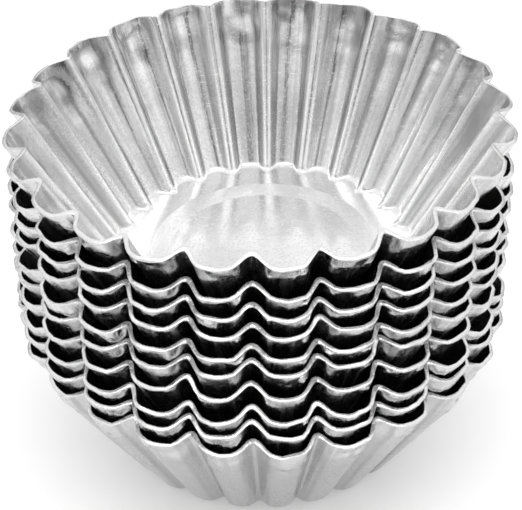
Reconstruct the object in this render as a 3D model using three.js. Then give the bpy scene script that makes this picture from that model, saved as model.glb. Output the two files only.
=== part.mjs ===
// A stack of fluted egg-tart pans, nested as they come out of the drawer. Millimetres, +Z up.
// The origin is on the table, under the middle of the bottom pan. Each pan is one sheet of
// aluminium, drawn in a press: a flat foot, a shallow step round it, a floor and a fluted wall.
import * as THREE from 'three';

// The sheet
const sheetThickness = 0.4;

// The foot and the floor. The foot is a disc pressed a little lower than the rest of the floor,
// and the pan stands on it.
const footRadius = 13.6;
const stepRadius = 16.3;
const stepHeight = 0.3;
const floorRadius = 21.5;

// The wall. Wide lobes stand out from it, with narrow crests between them.
const fluteCount = 24;
const rimRadius = 35;         // to the middle of the sheet, at the top of a lobe
const rimHeight = 22;         // from the table to the rim, at the top of a lobe
const rimCrestInset = 2.8;    // how far a crest stands in from the lobes at the rim
const rimCrestRise = 1;       // how far a crest's tip stands above the lobes
const floorCrestInset = 0.8;
const crestSharpness = 3.5;   // 1 is an even wave, more makes the crests narrower
const lobeRoundness = 0.2;    // the share of an even wave, which bows the lobes between the crests
// Where a flute has its corners: from one crest, through its lobe, towards the next crest
const fluteCorners = [0, 0.1, 0.25, 0.5, 0.75, 0.9];

// How each pan sits, from the bottom one up. Rise is how far it stands above the pan below it.
// Turn is about its own axis, lean is about X and Y, both in degrees, and shift is how far its
// foot is from the middle of the stack.
const seats = [
  { rise: 0, turn: -2.5, lean: [0, 0], shift: [0, 0] },
  { rise: 3.3, turn: -2.6, lean: [0.3, -0.3], shift: [0, -0.1] },
  { rise: 2.4, turn: -2.6, lean: [0.3, 0.1], shift: [-0.1, 0] },
  { rise: 4.2, turn: -2.5, lean: [0.7, -0.5], shift: [0, 0.4] },
  { rise: 3.1, turn: -2.5, lean: [-0.7, -0.7], shift: [0.2, -0.2] },
  { rise: 2.7, turn: -2.3, lean: [-0.7, -0.3], shift: [0, -0.4] },
  { rise: 4.0, turn: -2.3, lean: [0.3, 0.2], shift: [0, 0.2] },
  { rise: 2.7, turn: -2.6, lean: [-0.1, -0.1], shift: [0.2, 0.1] },
  { rise: 3.1, turn: -2.3, lean: [-0.1, 0], shift: [0.2, 0.2] },
  { rise: 5.3, turn: -2.3, lean: [0.4, -0.7], shift: [0.4, 0] },
];

// 1 on a crest and 0 in the middle of a lobe, where turn counts flutes round the pan
function crestAt(turn) {
  const wave = (1 + Math.cos(2 * Math.PI * turn)) / 2;
  return (1 - lobeRoundness) * wave ** crestSharpness + lobeRoundness * wave;
}

function pointAt(turn, radius, height) {
  const angle = (2 * Math.PI * turn) / fluteCount;
  return new THREE.Vector3(radius * Math.cos(angle), radius * Math.sin(angle), height);
}

// The middle of the sheet, where the wall leaves the floor and where it ends
function wallFoot(turn) {
  const height = sheetThickness / 2 + stepHeight;
  return pointAt(turn, floorRadius - floorCrestInset * crestAt(turn), height);
}

function wallRim(turn) {
  const crest = crestAt(turn);
  return pointAt(turn, rimRadius - rimCrestInset * crest, rimHeight + rimCrestRise * crest);
}

// The wall's direction out of the sheet, towards the inside of the pan
function wallNormal(turn, edge) {
  const along = edge(turn + 0.02).sub(edge(turn - 0.02));
  const up = wallRim(turn).sub(wallFoot(turn));
  return along.cross(up).normalize().negate();
}

// One face of the sheet, as rings of corners from the middle of the foot to the rim.
// Side is 1 for the face inside the pan and -1 for the face under it.
function faceRings(side) {
  const offset = (side * sheetThickness) / 2;
  const level = sheetThickness / 2 + offset;
  const flutes = [...Array(fluteCount).keys()];
  const columns = flutes.flatMap((flute) => fluteCorners.map((corner) => flute + corner));
  const foot = flutes.map((flute) => pointAt(flute, footRadius, level));
  const step = flutes.map((flute) => pointAt(flute, stepRadius, level + stepHeight));
  // The corner lies on the floor's face and on the wall's face at once
  const floorEdge = columns.map((turn) => {
    const normal = wallNormal(turn, wallFoot);
    const level2D = new THREE.Vector3(normal.x, normal.y, 0);
    const inward = (offset * (1 - normal.z)) / level2D.lengthSq();
    return wallFoot(turn).addScaledVector(level2D, inward).setZ(level + stepHeight);
  });
  const rim = columns.map((turn) => wallRim(turn).addScaledVector(wallNormal(turn, wallRim), offset));
  return [foot, step, floorEdge, rim];
}

function panGeometry() {
  const corners = [];
  const triangles = [];
  const add = (ring) => ring.map((corner) => corners.push(corner) - 1);
  const inside = faceRings(1).map(add);
  const under = faceRings(-1).map(add);

  // Joins two rings that face up, or down when flipped. The outer ring has as many corners as
  // the inner one, or a whole multiple of them.
  function band(inner, outer, flipped) {
    const ratio = outer.length / inner.length;
    const triangle = (a, b, c) => triangles.push(...(flipped ? [a, c, b] : [a, b, c]));
    outer.forEach((corner, i) => {
      const next = outer[(i + 1) % outer.length];
      const here = Math.floor(i / ratio);
      const near = inner[here];
      const far = inner[(here + 1) % inner.length];
      const place = i % ratio;
      triangle(place < ratio / 2 ? near : far, corner, next);
      if (place === Math.ceil(ratio / 2) - 1) triangle(near, next, far);
    });
  }

  function disc(ring, height, flipped) {
    const middle = corners.push(new THREE.Vector3(0, 0, height)) - 1;
    band([middle], ring, flipped);
  }

  for (let i = 1; i < inside.length; i += 1) {
    band(inside[i - 1], inside[i], false);
    band(under[i - 1], under[i], true);
  }
  band(inside.at(-1), under.at(-1), false);
  disc(inside[0], sheetThickness, false);
  disc(under[0], 0, true);

  const geometry = new THREE.BufferGeometry().setFromPoints(corners);
  geometry.setIndex(triangles);
  geometry.computeVertexNormals();
  return geometry;
}

const stack = new THREE.Group();
const geometry = panGeometry();
let height = 0;
seats.forEach(({ rise, turn, lean, shift }, index) => {
  const aluminium = new THREE.MeshStandardMaterial({ color: 0xc9cbcd, roughness: 0.25, metalness: 1 });
  const pan = new THREE.Mesh(geometry, aluminium);
  height += rise;
  pan.name = `tart_pan_${String(index + 1).padStart(2, '0')}`;
  pan.position.set(shift[0], shift[1], height);
  pan.rotation.set(...[lean[0], lean[1], turn].map(THREE.MathUtils.degToRad));
  stack.add(pan);
});

export default stack;
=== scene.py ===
# A stack of nested fluted tart pans, each pressed from one thin sheet of aluminium. Metres, +Z up.
import math
import bpy
import numpy as np
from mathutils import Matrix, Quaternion, Vector


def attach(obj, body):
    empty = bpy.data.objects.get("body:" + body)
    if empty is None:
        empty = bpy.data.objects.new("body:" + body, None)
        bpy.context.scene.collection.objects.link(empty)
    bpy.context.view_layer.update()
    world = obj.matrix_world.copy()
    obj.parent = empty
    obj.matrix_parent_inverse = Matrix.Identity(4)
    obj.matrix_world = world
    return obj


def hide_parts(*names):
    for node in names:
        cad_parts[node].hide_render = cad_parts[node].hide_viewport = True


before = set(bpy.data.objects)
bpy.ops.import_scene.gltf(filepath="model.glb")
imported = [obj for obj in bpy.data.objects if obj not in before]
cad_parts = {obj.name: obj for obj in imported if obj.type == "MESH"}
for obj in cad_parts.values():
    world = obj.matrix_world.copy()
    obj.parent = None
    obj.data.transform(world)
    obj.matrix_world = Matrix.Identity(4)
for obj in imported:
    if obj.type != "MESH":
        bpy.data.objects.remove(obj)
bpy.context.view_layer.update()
panNodes = sorted(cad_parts)
print("frame loaded:", len(panNodes), "pans")


def addNode(tree, kind, inputs=None, **settings):
    node = tree.nodes.new(kind)
    for name, value in settings.items():
        setattr(node, name, value)
    for key, value in (inputs or {}).items():
        if isinstance(value, bpy.types.NodeSocket):
            tree.links.new(value, node.inputs[key])
        else:
            node.inputs[key].default_value = value
    return node


def calc(tree, operation, *values, clamp=False):
    node = addNode(tree, "ShaderNodeMath", dict(enumerate(values)), operation=operation, use_clamp=clamp)
    return node.outputs[0]


def vectorCalc(tree, operation, *values, **named):
    node = addNode(tree, "ShaderNodeVectorMath", {**dict(enumerate(values)), **named}, operation=operation)
    return node.outputs["Value" if operation in ("LENGTH", "DOT_PRODUCT") else "Vector"]


def combine(tree, x, y, z):
    return addNode(tree, "ShaderNodeCombineXYZ", {0: x, 1: y, 2: z}).outputs[0]


def split(tree, vector):
    return addNode(tree, "ShaderNodeSeparateXYZ", {0: vector}).outputs


def blendRange(tree, value, low, high, toLow=0.0, toHigh=1.0, smooth=True):
    node = addNode(tree, "ShaderNodeMapRange", {0: value, 1: low, 2: high, 3: toLow, 4: toHigh},
                   interpolation_type="SMOOTHSTEP" if smooth else "LINEAR")
    return node.outputs[0]


def noiseAt(tree, place, scale, detail, **more):
    node = addNode(tree, "ShaderNodeTexNoise", {"Vector": place, "Scale": scale, "Detail": detail, **more})
    return node.outputs[0]


def mixColours(tree, amount, first, second):
    node = addNode(tree, "ShaderNodeMix", {"Factor": amount, 6: first, 7: second}, data_type="RGBA")
    return node.outputs[2]


def storeNamed(tree, geometry, name, value, kind="FLOAT", **more):
    inputs = {"Geometry": geometry, "Name": name, "Value": value, **more}
    node = addNode(tree, "GeometryNodeStoreNamedAttribute", inputs, data_type=kind, domain="POINT")
    return node.outputs[0]


def readNamed(tree, name, kind="FLOAT"):
    return addNode(tree, "GeometryNodeInputNamedAttribute", {"Name": name}, data_type=kind).outputs[0]


def moved(tree, geometry, **how):
    return addNode(tree, "GeometryNodeSetPosition", {"Geometry": geometry, **how}).outputs[0]


def newGroup(name, kind, inputs, outputs):
    # inputs and outputs are (name, socket type) or (name, socket type, default)
    tree = bpy.data.node_groups.new(name, kind)
    for direction, sockets in (("INPUT", inputs), ("OUTPUT", outputs)):
        for label, socketType, *default in sockets:
            socket = tree.interface.new_socket(name=label, in_out=direction,
                                               socket_type="NodeSocket" + socketType)
            if default:
                socket.default_value = default[0]
    return tree, tree.nodes.new("NodeGroupInput").outputs, tree.nodes.new("NodeGroupOutput").inputs


def seatOf(node):
    corners = np.array([v.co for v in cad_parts[node].data.vertices])
    corners = np.unique(np.round(corners, 6), axis=0)
    middle = corners.mean(axis=0)
    # the flutes repeat evenly round the pan, so the odd one of the three main directions is its axis
    spread, directions = np.linalg.eigh(np.cov((corners - middle).T))
    axis = Vector(directions[:, 0 if spread[1] - spread[0] > spread[2] - spread[1] else 2])
    if axis.z < 0:
        axis.negate()
    heights = (corners - middle) @ np.array(axis)
    foot = Vector(middle) + axis * float(heights.min())
    lean = Vector((0, 0, 1)).rotation_difference(axis)
    local = (corners - np.array(foot)) @ np.array(lean.to_matrix())
    rim = local[local[:, 2] > 0.9 * local[:, 2].max()]
    radius = np.hypot(rim[:, 0], rim[:, 1])
    angle = np.arctan2(rim[:, 1], rim[:, 0])
    flutes = panShape["fluteCount"]
    wave = np.sum((radius.mean() - radius) * np.exp(1j * flutes * angle))
    turn = float(np.angle(wave)) / flutes
    return foot, (lean @ Quaternion((0, 0, 1), turn)).to_euler()


panShape = {
    "fluteCount": 24,
    "columnsPerFlute": 16,
    "columnBunching": 0.45,      # draws the columns together at the crests
    "crestSharpness": 5.2,
    "crestFlatness": 1.0,        # rounds the crests' tips off
    "lobeRoundness": 0.28,       # the share of an even wave, which bows the lobes
    "crestPlay": 0.45,           # how much the crests' tips differ from pan to pan
    "flutePlay": 0.03,           # how far the die's crests stand from even spacing, in flutes
    "depthPlay": 0.05,           # and how much their depths differ
    "risePlay": 0.35,            # how much the crests' heights differ from pan to pan
    "rimRadius": 0.0351,         # to the middle of the sheet, at the top of a lobe
    "rimHeight": 0.022,
    "rimCrestInset": 0.00275,
    "rimCrestRise": 0.001,
    "floorRadius": 0.0215,
    "floorCrestInset": 0.0015,
    "footRadius": 0.0136,
    "stepRadius": 0.0163,
    "stepHeight": 0.0003,
    "stepRounding": 0.0012,
    "cornerRounding": 0.0018,
    "sheetThickness": 0.0004,
    "wallBow": 0.0001,           # the wall bows out a little on its way up
    "rimBend": 0.00015,          # and a lobe's last stretch stands steeper
    "rimBendStart": 0.84,
    "rimPlay": 2.4,              # some lobes' edges bend in more, and some stand out
    "burr": 0.0002,              # the cut edge is thicker than the sheet
    "rimDents": 0.0003,          # knocks near the rim, from the sink and the oven
    "dentScale": 380.0,          # a higher scale makes smaller dents
    "nickScale": 620.0,
    "edgeSteps": 8,              # round the cut edge
    "edgeRoundness": 0.35,       # 1 is a half circle, and less is flatter on top
    "edgeHeight": 0.6,
    "rowSpacing": 0.0008,
    "unevenness": 0.00008,
    "rimWobble": 0.00022,
    "wallSlope": 0.63,           # how far the wall runs out on its way up
    "playScale": 4.0,            # of the differences round a pan
    "seedStep": 0.113,           # how far apart two pans lie in the noise
}


def buildFluteWave():
    tree, given, out = newGroup("fluteWave", "GeometryNodeTree",
                                [("Turn", "Float"), ("Sharpness", "Float"), ("Flatness", "Float"),
                                 ("Roundness", "Float")], [("Crest", "Float")])
    wave = calc(tree, "COSINE", calc(tree, "MULTIPLY", given["Turn"], 2 * math.pi))
    wave = calc(tree, "MULTIPLY", calc(tree, "ADD", wave, 1.0), 0.5)
    # a flatter tip needs steeper sides, for the crest to stay as wide half way up
    steepness = calc(tree, "LOGARITHM", calc(tree, "ADD", given["Flatness"], 2.0), math.e)
    narrow = calc(tree, "POWER", wave, calc(tree, "MULTIPLY", given["Sharpness"], steepness))
    narrow = calc(tree, "DIVIDE", calc(tree, "MULTIPLY", narrow, calc(tree, "ADD", given["Flatness"], 1.0)),
                  calc(tree, "ADD", calc(tree, "MULTIPLY", narrow, given["Flatness"]), 1.0))
    narrow = calc(tree, "MULTIPLY", narrow, calc(tree, "SUBTRACT", 1.0, given["Roundness"]))
    even = calc(tree, "MULTIPLY", wave, given["Roundness"])
    tree.links.new(calc(tree, "ADD", narrow, even), out["Crest"])
    return tree


def buildPanTree():
    settings = [
        ("Flute Count", "Int", panShape["fluteCount"]),
        ("Columns per Flute", "Int", panShape["columnsPerFlute"]),
        ("Column Bunching", "Float", panShape["columnBunching"]),
        ("Crest Sharpness", "Float", panShape["crestSharpness"]),
        ("Crest Flatness", "Float", panShape["crestFlatness"]),
        ("Lobe Roundness", "Float", panShape["lobeRoundness"]),
        ("Crest Play", "Float", panShape["crestPlay"]),
        ("Flute Play", "Float", panShape["flutePlay"]),
        ("Depth Play", "Float", panShape["depthPlay"]),
        ("Rise Play", "Float", panShape["risePlay"]),
        ("Rim Radius", "Float", panShape["rimRadius"]),
        ("Rim Height", "Float", panShape["rimHeight"]),
        ("Rim Crest Inset", "Float", panShape["rimCrestInset"]),
        ("Rim Crest Rise", "Float", panShape["rimCrestRise"]),
        ("Floor Radius", "Float", panShape["floorRadius"]),
        ("Floor Crest Inset", "Float", panShape["floorCrestInset"]),
        ("Foot Radius", "Float", panShape["footRadius"]),
        ("Step Radius", "Float", panShape["stepRadius"]),
        ("Step Height", "Float", panShape["stepHeight"]),
        ("Step Rounding", "Float", panShape["stepRounding"]),
        ("Corner Rounding", "Float", panShape["cornerRounding"]),
        ("Sheet Thickness", "Float", panShape["sheetThickness"]),
        ("Wall Bow", "Float", panShape["wallBow"]),
        ("Rim Bend", "Float", panShape["rimBend"]),
        ("Rim Bend Start", "Float", panShape["rimBendStart"]),
        ("Rim Play", "Float", panShape["rimPlay"]),
        ("Burr", "Float", panShape["burr"]),
        ("Rim Dents", "Float", panShape["rimDents"]),
        ("Row Spacing", "Float", panShape["rowSpacing"]),
        ("Unevenness", "Float", panShape["unevenness"]),
        ("Rim Wobble", "Float", panShape["rimWobble"]),
        ("Seed", "Float", 0.0),
        ("Foot Place", "Vector"),
        ("Seat Turn", "Vector"),
        ("Metal", "Material"),
    ]
    tree, given, out = newGroup("pressedPan", "GeometryNodeTree", settings, [("Pan", "Geometry")])
    waveTree = buildFluteWave()

    # the profile of the middle of the sheet, from the pan's axis to the rim
    footLevel = calc(tree, "MULTIPLY", given["Sheet Thickness"], 0.5)
    floorLevel = calc(tree, "ADD", footLevel, given["Step Height"])
    stops = [(0.0, footLevel, 0.0), (given["Foot Radius"], footLevel, given["Step Rounding"]),
             (given["Step Radius"], floorLevel, given["Step Rounding"]),
             (given["Floor Radius"], floorLevel, given["Corner Rounding"]),
             (given["Rim Radius"], given["Rim Height"], 0.0)]
    index = addNode(tree, "GeometryNodeInputIndex").outputs[0]
    corner = addNode(tree, "GeometryNodeIndexSwitch", data_type="VECTOR")
    rounding = addNode(tree, "GeometryNodeIndexSwitch", data_type="FLOAT")
    for switch in (corner, rounding):
        tree.links.new(index, switch.inputs["Index"])
        while len(switch.index_switch_items) < len(stops):
            switch.index_switch_items.new()
    for place, (radius, height, round_) in enumerate(stops):
        tree.links.new(combine(tree, radius, 0.0, height), corner.inputs[place + 1])
        if isinstance(round_, bpy.types.NodeSocket):
            tree.links.new(round_, rounding.inputs[place + 1])
    points = addNode(tree, "GeometryNodePoints", {"Count": len(stops), "Position": corner.outputs[0]})
    line = addNode(tree, "GeometryNodePointsToCurves", {0: points.outputs[0]})
    rounded = addNode(tree, "GeometryNodeFilletCurve", {"Curve": line.outputs[0], "Count": 4,
                      "Radius": rounding.outputs[0], "Limit Radius": True}, mode="POLY")
    position = addNode(tree, "GeometryNodeInputPosition").outputs[0]
    following = addNode(tree, "GeometryNodeFieldAtIndex",
                        {"Index": calc(tree, "ADD", index, 1.0), "Value": position},
                        data_type="FLOAT_VECTOR", domain="POINT").outputs[0]
    gap = vectorCalc(tree, "LENGTH", vectorCalc(tree, "SUBTRACT", following, position))
    cuts = calc(tree, "FLOOR", calc(tree, "DIVIDE", gap, given["Row Spacing"]))
    profile = addNode(tree, "GeometryNodeSubdivideCurve", {0: rounded.outputs[0], 1: cuts})
    rows = addNode(tree, "GeometryNodeAttributeDomainSize", {0: profile.outputs[0]}, component="CURVE")
    rowCount = rows.outputs["Point Count"]

    # a flat grid, one column for each step round the pan and one row for each stop of the profile
    columns = calc(tree, "MULTIPLY", given["Flute Count"], given["Columns per Flute"])
    grid = addNode(tree, "GeometryNodeMeshGrid", {"Size X": 1.0, "Size Y": 1.0,
                   "Vertices X": calc(tree, "ADD", columns, 1.0), "Vertices Y": rowCount}).outputs[0]
    across, along, _ = split(tree, vectorCalc(tree, "ADD", position, (0.5, 0.5, 0.0)))
    evenTurn = calc(tree, "MULTIPLY", across, given["Flute Count"])
    bunch = calc(tree, "SINE", calc(tree, "MULTIPLY", evenTurn, 2 * math.pi))
    bunch = calc(tree, "MULTIPLY", bunch, calc(tree, "DIVIDE", given["Column Bunching"], 2 * math.pi))
    turn = calc(tree, "SUBTRACT", evenTurn, bunch)
    angle = calc(tree, "MULTIPLY", turn, calc(tree, "DIVIDE", 2 * math.pi, given["Flute Count"]))
    aside = combine(tree, calc(tree, "COSINE", angle), calc(tree, "SINE", angle), 0.0)

    # the die's own flutes aren't quite alike, and each pan came out of it and the kitchen a bit different
    def play(amount, shift):
        # shift is a number for the die, or follows the pan's seed
        level = shift
        if not isinstance(shift, float):
            level = calc(tree, "ADD", calc(tree, "MULTIPLY", shift, 5.7), 23.0)
        place = vectorCalc(tree, "ADD", aside, combine(tree, 0.0, 0.0, level))
        noise = calc(tree, "SUBTRACT", noiseAt(tree, place, panShape["playScale"], 1.0), 0.5)
        return calc(tree, "MULTIPLY", noise, calc(tree, "MULTIPLY", amount, 5.0))

    crest = addNode(tree, "GeometryNodeGroup", node_tree=waveTree)
    tree.links.new(calc(tree, "ADD", turn, play(given["Flute Play"], 3.0)), crest.inputs["Turn"])
    tree.links.new(given["Crest Sharpness"], crest.inputs["Sharpness"])
    flatness = calc(tree, "EXPONENT", play(given["Crest Play"], given["Seed"]))
    tree.links.new(calc(tree, "MULTIPLY", given["Crest Flatness"], flatness), crest.inputs["Flatness"])
    tree.links.new(given["Lobe Roundness"], crest.inputs["Roundness"])
    crest = crest.outputs[0]
    depth = calc(tree, "ADD", play(given["Depth Play"], 11.0), 1.0)
    row = calc(tree, "ROUND", calc(tree, "MULTIPLY", along, calc(tree, "SUBTRACT", rowCount, 1.0)))
    sample = addNode(tree, "GeometryNodeSampleIndex",
                     {"Geometry": profile.outputs[0], "Value": position, "Index": row},
                     data_type="FLOAT_VECTOR", domain="POINT", clamp=True).outputs[0]
    radius, _, height = split(tree, sample)
    climb = calc(tree, "DIVIDE", calc(tree, "SUBTRACT", height, floorLevel),
                 calc(tree, "SUBTRACT", given["Rim Height"], floorLevel), clamp=True)
    # the crests' inset grows from nothing at the step to its full depth at the rim
    inset = calc(tree, "MULTIPLY", given["Floor Crest Inset"],
                 blendRange(tree, radius, given["Step Radius"], given["Floor Radius"]))
    inset = calc(tree, "ADD", inset, calc(tree, "MULTIPLY", climb,
                 calc(tree, "SUBTRACT", given["Rim Crest Inset"], given["Floor Crest Inset"])))
    inset = calc(tree, "MULTIPLY", inset, depth)
    radius = calc(tree, "SUBTRACT", radius, calc(tree, "MULTIPLY", inset, crest))
    bow = calc(tree, "MULTIPLY", climb, calc(tree, "SUBTRACT", 1.0, climb))
    bow = calc(tree, "MULTIPLY", bow, calc(tree, "MULTIPLY", given["Wall Bow"], 4.0))
    last = calc(tree, "DIVIDE", calc(tree, "SUBTRACT", climb, given["Rim Bend Start"]),
                calc(tree, "SUBTRACT", 1.0, given["Rim Bend Start"]), clamp=True)
    bend = calc(tree, "SUBTRACT", climb, calc(tree, "MULTIPLY", last, last))
    lobe = calc(tree, "SUBTRACT", 1.0, crest)
    lobe = calc(tree, "MULTIPLY", lobe, lobe)
    bendNow = calc(tree, "MULTIPLY", given["Rim Bend"],
                   calc(tree, "ADD", play(given["Rim Play"], calc(tree, "ADD", given["Seed"], 0.5)), 1.0))
    bend = calc(tree, "MULTIPLY", calc(tree, "MULTIPLY", bend, lobe), bendNow)
    radius = calc(tree, "ADD", radius, calc(tree, "ADD", bow, bend))
    riseNow = calc(tree, "ADD", play(given["Rise Play"], calc(tree, "ADD", given["Seed"], 0.25)), 1.0)
    rise = calc(tree, "MULTIPLY", calc(tree, "MULTIPLY", given["Rim Crest Rise"], riseNow),
                calc(tree, "MULTIPLY", crest, climb))
    height = calc(tree, "ADD", height, rise)
    fluted = combine(tree, calc(tree, "MULTIPLY", radius, calc(tree, "COSINE", angle)),
                     calc(tree, "MULTIPLY", radius, calc(tree, "SINE", angle)), height)
    sheet = storeNamed(tree, grid, "crestLine", calc(tree, "MULTIPLY", crest, climb))
    sheet = storeNamed(tree, sheet, "wallClimb", climb)
    sheet = moved(tree, sheet, Position=fluted)
    sheet = addNode(tree, "GeometryNodeMergeByDistance", {"Geometry": sheet, "Distance": 1e-6}).outputs[0]

    # a used pan is a little uneven, with dents and nicks at its rim
    x, y, _ = split(tree, position)
    flat = vectorCalc(tree, "NORMALIZE", combine(tree, x, y, 0.0))
    climbNow = readNamed(tree, "wallClimb")
    crestNow = readNamed(tree, "crestLine")
    around = combine(tree, 0.0, calc(tree, "MULTIPLY", given["Seed"], 7.3), climbNow)
    around = vectorCalc(tree, "ADD", flat, around)

    def wobble(scale, shift):
        place = vectorCalc(tree, "ADD", around, (0.0, shift, shift))
        return calc(tree, "SUBTRACT", noiseAt(tree, place, scale, 2.0), 0.5)

    loose = calc(tree, "SUBTRACT", 1.0, calc(tree, "MULTIPLY", crestNow, 0.7))
    outward = calc(tree, "MULTIPLY", calc(tree, "MULTIPLY", wobble(3.0, 0.0), given["Unevenness"]),
                   calc(tree, "MULTIPLY", climbNow, loose))
    upward = calc(tree, "MULTIPLY", calc(tree, "MULTIPLY", wobble(5.0, 3.1), given["Rim Wobble"]), climbNow)
    ownShift = calc(tree, "MULTIPLY", given["Seed"], panShape["seedStep"])
    ownPlace = vectorCalc(tree, "ADD", position, combine(tree, 0.0, 0.0, ownShift))
    knock = noiseAt(tree, ownPlace, panShape["dentScale"], 1.5)
    nick = calc(tree, "SUBTRACT", noiseAt(tree, ownPlace, panShape["nickScale"], 2.0), 0.5)
    nick = calc(tree, "MULTIPLY", nick, calc(tree, "MULTIPLY", given["Rim Dents"], 0.3))
    upward = calc(tree, "ADD", upward, calc(tree, "MULTIPLY", nick, blendRange(tree, climbNow, 0.93, 1.0)))
    knock = calc(tree, "MULTIPLY", calc(tree, "SUBTRACT", knock, 0.5), given["Rim Dents"])
    knock = calc(tree, "MULTIPLY", knock, blendRange(tree, crestNow, 0.1, 0.7, 1.0, 0.0))
    # the dents are deepest a little below the rim
    knocked = calc(tree, "MULTIPLY", blendRange(tree, climbNow, 0.6, 0.92, 0.0, 1.3),
                   blendRange(tree, climbNow, 0.93, 1.0, 1.0, 0.6))
    outward = calc(tree, "ADD", outward, calc(tree, "MULTIPLY", knock, knocked))
    offset = vectorCalc(tree, "SCALE", flat, Scale=calc(tree, "MULTIPLY", outward, 4.0))
    offset = vectorCalc(tree, "ADD", offset, combine(tree, 0.0, 0.0, calc(tree, "MULTIPLY", upward, 4.0)))
    sheet = moved(tree, sheet, Offset=offset)

    # the sheet's own thickness: one skin inside, one under, and a rounded edge round the rim
    facing = addNode(tree, "GeometryNodeInputNormal").outputs[0]
    sheet = storeNamed(tree, sheet, "sheetNormal", facing, "FLOAT_VECTOR")
    normal = readNamed(tree, "sheetNormal", "FLOAT_VECTOR")
    burr = calc(tree, "MULTIPLY", given["Burr"], blendRange(tree, climbNow, 0.955, 1.0))
    # the burr stands in on the lobes, and out on the crests, where the next pan sits close
    lobeNow = calc(tree, "SUBTRACT", 1.0, crestNow)
    innerBurr = calc(tree, "MULTIPLY", lobeNow, calc(tree, "MULTIPLY", lobeNow, 0.9))
    innerBurr = calc(tree, "MULTIPLY", burr, innerBurr)
    outerBurr = calc(tree, "MULTIPLY", crestNow, calc(tree, "MULTIPLY", crestNow, 1.7))
    outerBurr = calc(tree, "MULTIPLY", burr, calc(tree, "ADD", outerBurr, 0.1))
    half = calc(tree, "MULTIPLY", calc(tree, "ADD", innerBurr, outerBurr), 0.5)
    half = calc(tree, "ADD", footLevel, half)

    def shifted(geometry, distance):
        return moved(tree, geometry, Offset=vectorCalc(tree, "SCALE", normal, Scale=distance))

    # the sheet faces down and out
    outside = shifted(sheet, calc(tree, "ADD", footLevel, outerBurr))
    outside = storeNamed(tree, outside, "outerSkin", 1.0)
    inside = shifted(sheet, calc(tree, "MULTIPLY", calc(tree, "ADD", footLevel, innerBurr), -1.0))
    inside = addNode(tree, "GeometryNodeFlipFaces", {0: inside}).outputs[0]
    neighbours = addNode(tree, "GeometryNodeInputMeshEdgeNeighbors").outputs[0]
    edge = addNode(tree, "FunctionNodeCompare", {2: neighbours, 3: 1},
                   data_type="INT", operation="EQUAL").outputs[0]
    # up the wall, in the plane of the sheet
    wallUp = vectorCalc(tree, "SCALE", flat, Scale=panShape["wallSlope"])
    wallUp = vectorCalc(tree, "ADD", wallUp, (0.0, 0.0, 1.0))
    lean = vectorCalc(tree, "DOT_PRODUCT", wallUp, normal)
    wallUp = vectorCalc(tree, "NORMALIZE", vectorCalc(tree, "SUBTRACT", wallUp,
                        vectorCalc(tree, "SCALE", normal, Scale=lean)))
    rimmed = outside
    rimSteps = panShape["edgeSteps"]
    roundness = panShape["edgeRoundness"]

    def edgePoint(step):
        # a cut edge is flat on top, with its corners rounded off
        across, up = math.cos(math.pi * step / rimSteps), math.sin(math.pi * step / rimSteps)
        return math.copysign(abs(across) ** roundness, across), abs(up) ** roundness

    for step in range(rimSteps):
        (startAcross, startUp), (endAcross, endUp) = edgePoint(step), edgePoint(step + 1)
        grown = addNode(tree, "GeometryNodeExtrudeMesh",
                        {"Mesh": rimmed, "Selection": edge, "Offset Scale": 0.0}, mode="EDGES")
        edge = grown.outputs["Top"]
        stepIn = calc(tree, "MULTIPLY", half, endAcross - startAcross)
        stepUp = calc(tree, "MULTIPLY", half, (endUp - startUp) * panShape["edgeHeight"])
        curl = vectorCalc(tree, "ADD", vectorCalc(tree, "SCALE", normal, Scale=stepIn),
                          vectorCalc(tree, "SCALE", wallUp, Scale=stepUp))
        rimmed = moved(tree, grown.outputs["Mesh"], Selection=edge, Offset=curl)
        if step == 0:
            rimmed = storeNamed(tree, rimmed, "rimEdge", 1.0, Selection=edge)
        if step == rimSteps - 1:
            rimmed = storeNamed(tree, rimmed, "rimEdge", 0.0, Selection=edge)
    both = addNode(tree, "GeometryNodeJoinGeometry")
    tree.links.new(inside, both.inputs[0])
    tree.links.new(rimmed, both.inputs[0])
    pan = addNode(tree, "GeometryNodeMergeByDistance",
                  {"Geometry": both.outputs[0], "Distance": 1e-6}).outputs[0]

    # each point's place on its own pan, for the material, and then the pan's seat in the stack
    pan = storeNamed(tree, pan, "panPoint", ownPlace, "FLOAT_VECTOR")
    pan = addNode(tree, "GeometryNodeRemoveAttribute", {"Geometry": pan, "Name": "sheetNormal"}).outputs[0]
    pan = addNode(tree, "GeometryNodeSetShadeSmooth", {"Geometry": pan, "Shade Smooth": True}).outputs[0]
    seat = addNode(tree, "FunctionNodeEulerToRotation", {0: given["Seat Turn"]}).outputs[0]
    pan = addNode(tree, "GeometryNodeTransform", {"Geometry": pan, "Translation": given["Foot Place"],
                  "Rotation": seat}).outputs[0]
    pan = addNode(tree, "GeometryNodeRealizeInstances", {0: pan}).outputs[0]
    pan = addNode(tree, "GeometryNodeSetMaterial", {"Geometry": pan, "Material": given["Metal"]}).outputs[0]
    tree.links.new(pan, out["Pan"])
    return tree


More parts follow.
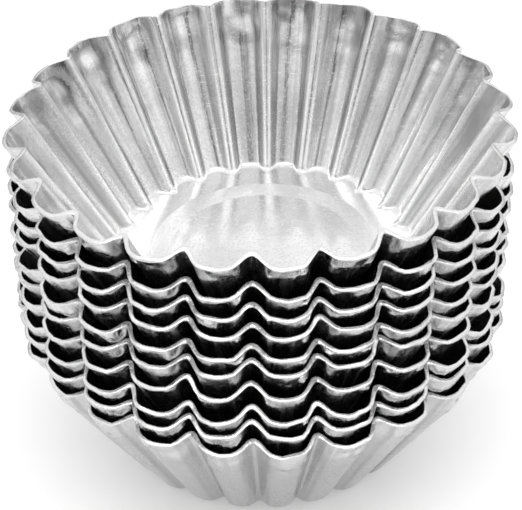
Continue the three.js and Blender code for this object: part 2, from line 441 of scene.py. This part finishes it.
def pressPan(node, tree, metal, seed):
    foot, turn = seatOf(node)
    blank = bpy.data.objects.new("blank", bpy.data.meshes.new("blank"))
    bpy.context.scene.collection.objects.link(blank)
    press = blank.modifiers.new("press", "NODES")
    press.node_group = tree
    sockets = {item.name: item.identifier for item in tree.interface.items_tree if item.in_out == "INPUT"}
    press[sockets["Seed"]] = float(seed)
    press[sockets["Foot Place"]] = foot
    press[sockets["Seat Turn"]] = Vector(turn)
    press[sockets["Metal"]] = metal
    bpy.context.view_layer.update()
    pressed = bpy.data.meshes.new_from_object(blank.evaluated_get(bpy.context.evaluated_depsgraph_get()))
    bpy.data.objects.remove(blank)
    pressed.name = "tartPan" + node[-2:]
    pan = bpy.data.objects.new(pressed.name, pressed)
    bpy.context.scene.collection.objects.link(pan)
    return pan


metalLook = {
    "colour": (0.78, 0.78, 0.78, 1.0),
    "dullColour": (0.55, 0.55, 0.55, 1.0),
    "outerColour": (0.58, 0.58, 0.58, 1.0),    # the outside has never been rubbed bright
    "stainAndFoldShadeColour": (0.42, 0.42, 0.42, 1.0),    # fat baked on, more towards the rim, and painted shade in the folds beside the crests
    "edgeColour": (0.70, 0.70, 0.70, 1.0),     # the cut edge
    "rubbedHighlightColour": (0.93, 0.93, 0.93, 1.0),   # the crests' tips, rubbed bright where the pans rub, and a painted highlight along them
    "roughness": 0.11,
    "wallRoughness": 0.05,         # what the drawn wall and the unrubbed outside add
    "dullRoughness": 0.29,
    "streakHeight": 0.00011,       # lines left along the flutes as the sheet was drawn
    "peelHeight": 0.00003,         # and its fine uneven skin
    "floorPeelHeight": 0.000006,
    "pitting": 0.3,                # fine dull specks
    "scratchDepth": 0.00001,
    # a higher scale makes finer marks
    "streakScale": 24.0,
    "peelScale": 900.0,
    "smudgeScale": 70.0,
    "pitScale": 2600.0,
    "stainScale": 190.0,
    "scratchPatchScale": 120.0,
    # the direction, the scale and how many, for each set of scratches
    "scratches": [((0.3, 0.2, 0.4), 3600.0, 0.12), ((1.1, 0.5, 1.9), 4100.0, 0.11),
                  ((0.2, 1.3, 2.8), 3200.0, 0.11)],
    "wornScratches": 0.035,        # the floor and the outside have more of them
}


def buildScratches():
    # short fine lines in one direction, for a surface that was scraped now and then
    tree, given, out = newGroup("scratches", "ShaderNodeTree",
                                [("Place", "Vector"), ("Direction", "Vector"),
                                 ("Scale", "Float"), ("Amount", "Float")], [("Mask", "Float")])
    turned = addNode(tree, "ShaderNodeMapping", {"Vector": given["Place"], "Rotation": given["Direction"]},
                     vector_type="POINT").outputs[0]
    stretched = vectorCalc(tree, "MULTIPLY", turned, (0.03, 1.0, 1.0))
    stretched = vectorCalc(tree, "SCALE", stretched, Scale=given["Scale"])
    line = noiseAt(tree, stretched, 1.0, 0.0, Distortion=0.2)
    where = noiseAt(tree, given["Place"], metalLook["scratchPatchScale"], 1.0)
    limit = calc(tree, "SUBTRACT", 0.80, calc(tree, "MULTIPLY", where, given["Amount"]))
    tree.links.new(blendRange(tree, line, limit, calc(tree, "ADD", limit, 0.04)), out["Mask"])
    return tree


def buildMetal():
    metal = bpy.data.materials.new("pressedAluminium")
    metal.use_nodes = True
    tree = metal.node_tree
    tree.nodes.clear()
    panPoint = addNode(tree, "ShaderNodeAttribute", attribute_name="panPoint").outputs["Vector"]
    rimEdge = addNode(tree, "ShaderNodeAttribute", attribute_name="rimEdge").outputs["Fac"]
    wallClimb = addNode(tree, "ShaderNodeAttribute", attribute_name="wallClimb").outputs["Fac"]
    outerSkin = addNode(tree, "ShaderNodeAttribute", attribute_name="outerSkin").outputs["Fac"]
    crestLine = addNode(tree, "ShaderNodeAttribute", attribute_name="crestLine").outputs["Fac"]
    crest = calc(tree, "DIVIDE", crestLine, calc(tree, "MAXIMUM", wallClimb, 0.02))
    onWall = blendRange(tree, wallClimb, 0.01, 0.05)
    x, y, z = split(tree, panPoint)

    # along the wall the sheet is drawn into streaks, which run up the flutes
    flat = vectorCalc(tree, "NORMALIZE", combine(tree, x, y, 0.0))
    streakPlace = vectorCalc(tree, "ADD", flat, combine(tree, 0.0, 0.0, calc(tree, "MULTIPLY", z, 1.3)))
    streak = noiseAt(tree, streakPlace, metalLook["streakScale"], 3.0, Roughness=0.5)
    peel = noiseAt(tree, panPoint, metalLook["peelScale"], 2.0)
    smudge = blendRange(tree, noiseAt(tree, panPoint, metalLook["smudgeScale"], 4.0), 0.4, 0.7)
    pits = blendRange(tree, noiseAt(tree, panPoint, metalLook["pitScale"], 2.0), 0.48, 0.68)
    pits = calc(tree, "MULTIPLY", pits, metalLook["pitting"])

    worn = calc(tree, "MAXIMUM", outerSkin, calc(tree, "SUBTRACT", 1.0, onWall))
    scratchTree = buildScratches()
    scratch = 0.0
    for direction, scale, many in metalLook["scratches"]:
        amount = calc(tree, "ADD", calc(tree, "MULTIPLY", worn, metalLook["wornScratches"]), many)
        group = addNode(tree, "ShaderNodeGroup", {"Place": panPoint, "Direction": direction,
                        "Scale": scale, "Amount": amount}, node_tree=scratchTree)
        scratch = calc(tree, "MAXIMUM", scratch, group.outputs[0])

    height = calc(tree, "MULTIPLY", calc(tree, "MULTIPLY", streak, onWall), metalLook["streakHeight"])
    peelHeight = blendRange(tree, onWall, 0.0, 1.0, metalLook["floorPeelHeight"], metalLook["peelHeight"])
    height = calc(tree, "ADD", height, calc(tree, "MULTIPLY", peel, peelHeight))
    height = calc(tree, "SUBTRACT", height, calc(tree, "MULTIPLY", scratch, metalLook["scratchDepth"]))
    bump = addNode(tree, "ShaderNodeBump", {"Height": height, "Strength": 1.0, "Distance": 1.0})
    dull = calc(tree, "ADD", calc(tree, "MULTIPLY", smudge, 0.5),
                calc(tree, "MULTIPLY", blendRange(tree, streak, 0.5, 0.7), onWall))
    dull = calc(tree, "ADD", dull, pits, clamp=True)
    stainPlace = combine(tree, x, y, calc(tree, "MULTIPLY", z, 0.25))
    stainAndFoldShade = blendRange(tree, noiseAt(tree, stainPlace, metalLook["stainScale"], 5.0), 0.5, 0.68)
    stainAndFoldShade = calc(tree, "MULTIPLY", stainAndFoldShade, blendRange(tree, wallClimb, 0.0, 0.9))
    share = calc(tree, "SUBTRACT", 1.0, calc(tree, "MULTIPLY", outerSkin, 0.6))
    stainAndFoldShade = calc(tree, "MULTIPLY", stainAndFoldShade, share)

    # painted shade darkens the folds beside the crests, and a painted highlight brightens the crests' tips,
    # which are also rubbed bright
    foldShade = calc(tree, "SUBTRACT", blendRange(tree, crest, 0.16, 0.26), blendRange(tree, crest, 0.3, 0.5))
    foldShade = calc(tree, "MULTIPLY", foldShade, blendRange(tree, smudge, 0.0, 1.0, 0.35, 0.8))
    stainAndFoldShade = calc(tree, "MAXIMUM", stainAndFoldShade, calc(tree, "MULTIPLY", foldShade, onWall))
    innerWall = calc(tree, "SUBTRACT", onWall, outerSkin, clamp=True)
    rubbedHighlight = calc(tree, "MULTIPLY", blendRange(tree, crest, 0.72, 0.95), innerWall)

    unrubbed = calc(tree, "MULTIPLY", outerSkin, blendRange(tree, wallClimb, 0.72, 0.95, 1.0, 0.25))
    colour = mixColours(tree, unrubbed, metalLook["colour"], metalLook["outerColour"])
    colour = mixColours(tree, dull, colour, metalLook["dullColour"])
    # the stain colour also paints shade into the folds beside the crests
    colour = mixColours(tree, stainAndFoldShade, colour, metalLook["stainAndFoldShadeColour"])
    # a painted highlight on the crests' tips, which are also rubbed bright
    colour = mixColours(tree, rubbedHighlight, colour, metalLook["rubbedHighlightColour"])
    colour = mixColours(tree, rimEdge, colour, metalLook["edgeColour"])
    roughness = blendRange(tree, dull, 0.0, 1.0,
                           metalLook["roughness"], metalLook["dullRoughness"], smooth=False)
    roughness = calc(tree, "ADD", roughness, calc(tree, "MULTIPLY", metalLook["wallRoughness"],
                     calc(tree, "MAXIMUM", unrubbed, calc(tree, "SUBTRACT", onWall, outerSkin))))
    marked = calc(tree, "MULTIPLY", calc(tree, "ADD", rimEdge, scratch), 0.06)
    roughness = calc(tree, "ADD", roughness, marked)
    shader = addNode(tree, "ShaderNodeBsdfPrincipled", {"Base Color": colour, "Metallic": 1.0,
                     "Roughness": roughness, "Normal": bump.outputs[0]})
    addNode(tree, "ShaderNodeOutputMaterial", {"Surface": shader.outputs[0]})
    return metal


panTree = buildPanTree()
metal = buildMetal()
for seed, node in enumerate(panNodes):
    pan = pressPan(node, panTree, metal, seed)
    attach(pan, node)
    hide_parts(node)
print("pans pressed:", len(panNodes), "of", len(pan.data.polygons), "faces")


studio = {
    "floorSize": 12.0,
    "floorColour": (0.78, 0.78, 0.78, 1.0),
    "floorGlow": 0.26,            # the table is lit from below
    "tentColour": (1.2, 1.2, 1.2, 1.0),
    "shadeColour": (0.32, 0.32, 0.32, 1.0),    # the tent is darker low down, but not at the table
    "shadeFoot": (0.0, 0.16),
    "shadeTop": (0.05, 0.62),
    "openingColour": (0.42, 0.42, 0.42, 1.0),  # the tent is open at the front, low down
    "openingPlace": (0.0, -0.995, -0.0995),
    "openingEdge": 0.45,
    "standColour": (0.10, 0.10, 0.10, 1.0),    # and the camera's stand is in its middle
    "standWidth": (0.05, 0.15),
    "standTop": (0.55, 0.75),
    "topBoxPlace": (0.0, -0.235, 0.9),
    "topBoxTarget": (0.0, 0.0, 0.03),
    "topBoxSize": (1.0, 0.22),
    "topBoxPower": 2.4,
    "lensLength": 131.25,
    "cameraDistance": 0.27514,
    "cameraRise": 35.48,
    "cameraRoll": -1.113,
    "targetOffset": (0.0, -0.0002),
    "targetHeight": 0.0301,
}


def buildFloor():
    mesh = bpy.data.meshes.new("floor")
    side = studio["floorSize"] / 2
    corners = [(-side, -side, 0), (side, -side, 0), (side, side, 0), (-side, side, 0)]
    mesh.from_pydata(corners, [], [(0, 1, 2, 3)])
    floor = bpy.data.objects.new("floor", mesh)
    bpy.context.scene.collection.objects.link(floor)
    paint = bpy.data.materials.new("floorPaint")
    paint.use_nodes = True
    shader = paint.node_tree.nodes["Principled BSDF"]
    shader.inputs["Base Color"].default_value = studio["floorColour"]
    shader.inputs["Roughness"].default_value = 0.8
    shader.inputs["Emission Color"].default_value = (1.0, 1.0, 1.0, 1.0)
    shader.inputs["Emission Strength"].default_value = studio["floorGlow"]
    mesh.materials.append(paint)


def addSoftbox(name, place, target, size, power):
    light = bpy.data.lights.new(name, "AREA")
    light.shape = "RECTANGLE"
    light.size, light.size_y = size
    light.energy = power
    softbox = bpy.data.objects.new(name, light)
    softbox.location = place
    softbox.rotation_euler = (Vector(target) - Vector(place)).to_track_quat("-Z", "Y").to_euler()
    bpy.context.scene.collection.objects.link(softbox)


def buildSky():
    world = bpy.data.worlds.new("studioSky")
    world.use_nodes = True
    tree = world.node_tree
    direction = addNode(tree, "ShaderNodeTexCoord").outputs["Generated"]
    towards = vectorCalc(tree, "DOT_PRODUCT", direction, studio["openingPlace"])
    inOpening = blendRange(tree, towards, studio["openingEdge"], 1.0, smooth=False)
    colour = mixColours(tree, inOpening, studio["tentColour"], studio["openingColour"])
    x, y, z = split(tree, direction)
    shade = calc(tree, "SUBTRACT", 1.0, blendRange(tree, z, *studio["shadeTop"]))
    shade = calc(tree, "MULTIPLY", shade, blendRange(tree, z, *studio["shadeFoot"]))
    colour = mixColours(tree, shade, colour, studio["shadeColour"])
    besideStand = blendRange(tree, calc(tree, "ABSOLUTE", x), *studio["standWidth"])
    aboveStand = blendRange(tree, z, *studio["standTop"])
    onStand = calc(tree, "MULTIPLY", calc(tree, "SUBTRACT", 1.0, besideStand),
                   calc(tree, "SUBTRACT", 1.0, aboveStand))
    onStand = calc(tree, "MULTIPLY", onStand, calc(tree, "LESS_THAN", y, 0.0))
    colour = mixColours(tree, onStand, colour, studio["standColour"])
    tree.links.new(colour, tree.nodes["Background"].inputs[0])
    bpy.context.scene.world = world


def buildCamera():
    rise = math.radians(studio["cameraRise"])
    target = Vector((*studio["targetOffset"], studio["targetHeight"]))
    away = Vector((0, -math.cos(rise), math.sin(rise)))
    lens = bpy.data.cameras.new("camera")
    lens.lens = studio["lensLength"]
    lens.sensor_width = 36.0
    lens.clip_start = 0.01
    camera = bpy.data.objects.new("camera", lens)
    camera.location = target + away * studio["cameraDistance"]
    aim = (-away).to_track_quat("-Z", "Y") @ Quaternion((0, 0, 1), math.radians(studio["cameraRoll"]))
    camera.rotation_euler = aim.to_euler()
    bpy.context.scene.collection.objects.link(camera)
    bpy.context.scene.camera = camera


buildFloor()
addSoftbox("topBox", studio["topBoxPlace"], studio["topBoxTarget"],
           studio["topBoxSize"], studio["topBoxPower"])
buildCamera()
buildSky()
bpy.context.scene.view_settings.view_transform = "Standard"
print("studio set")
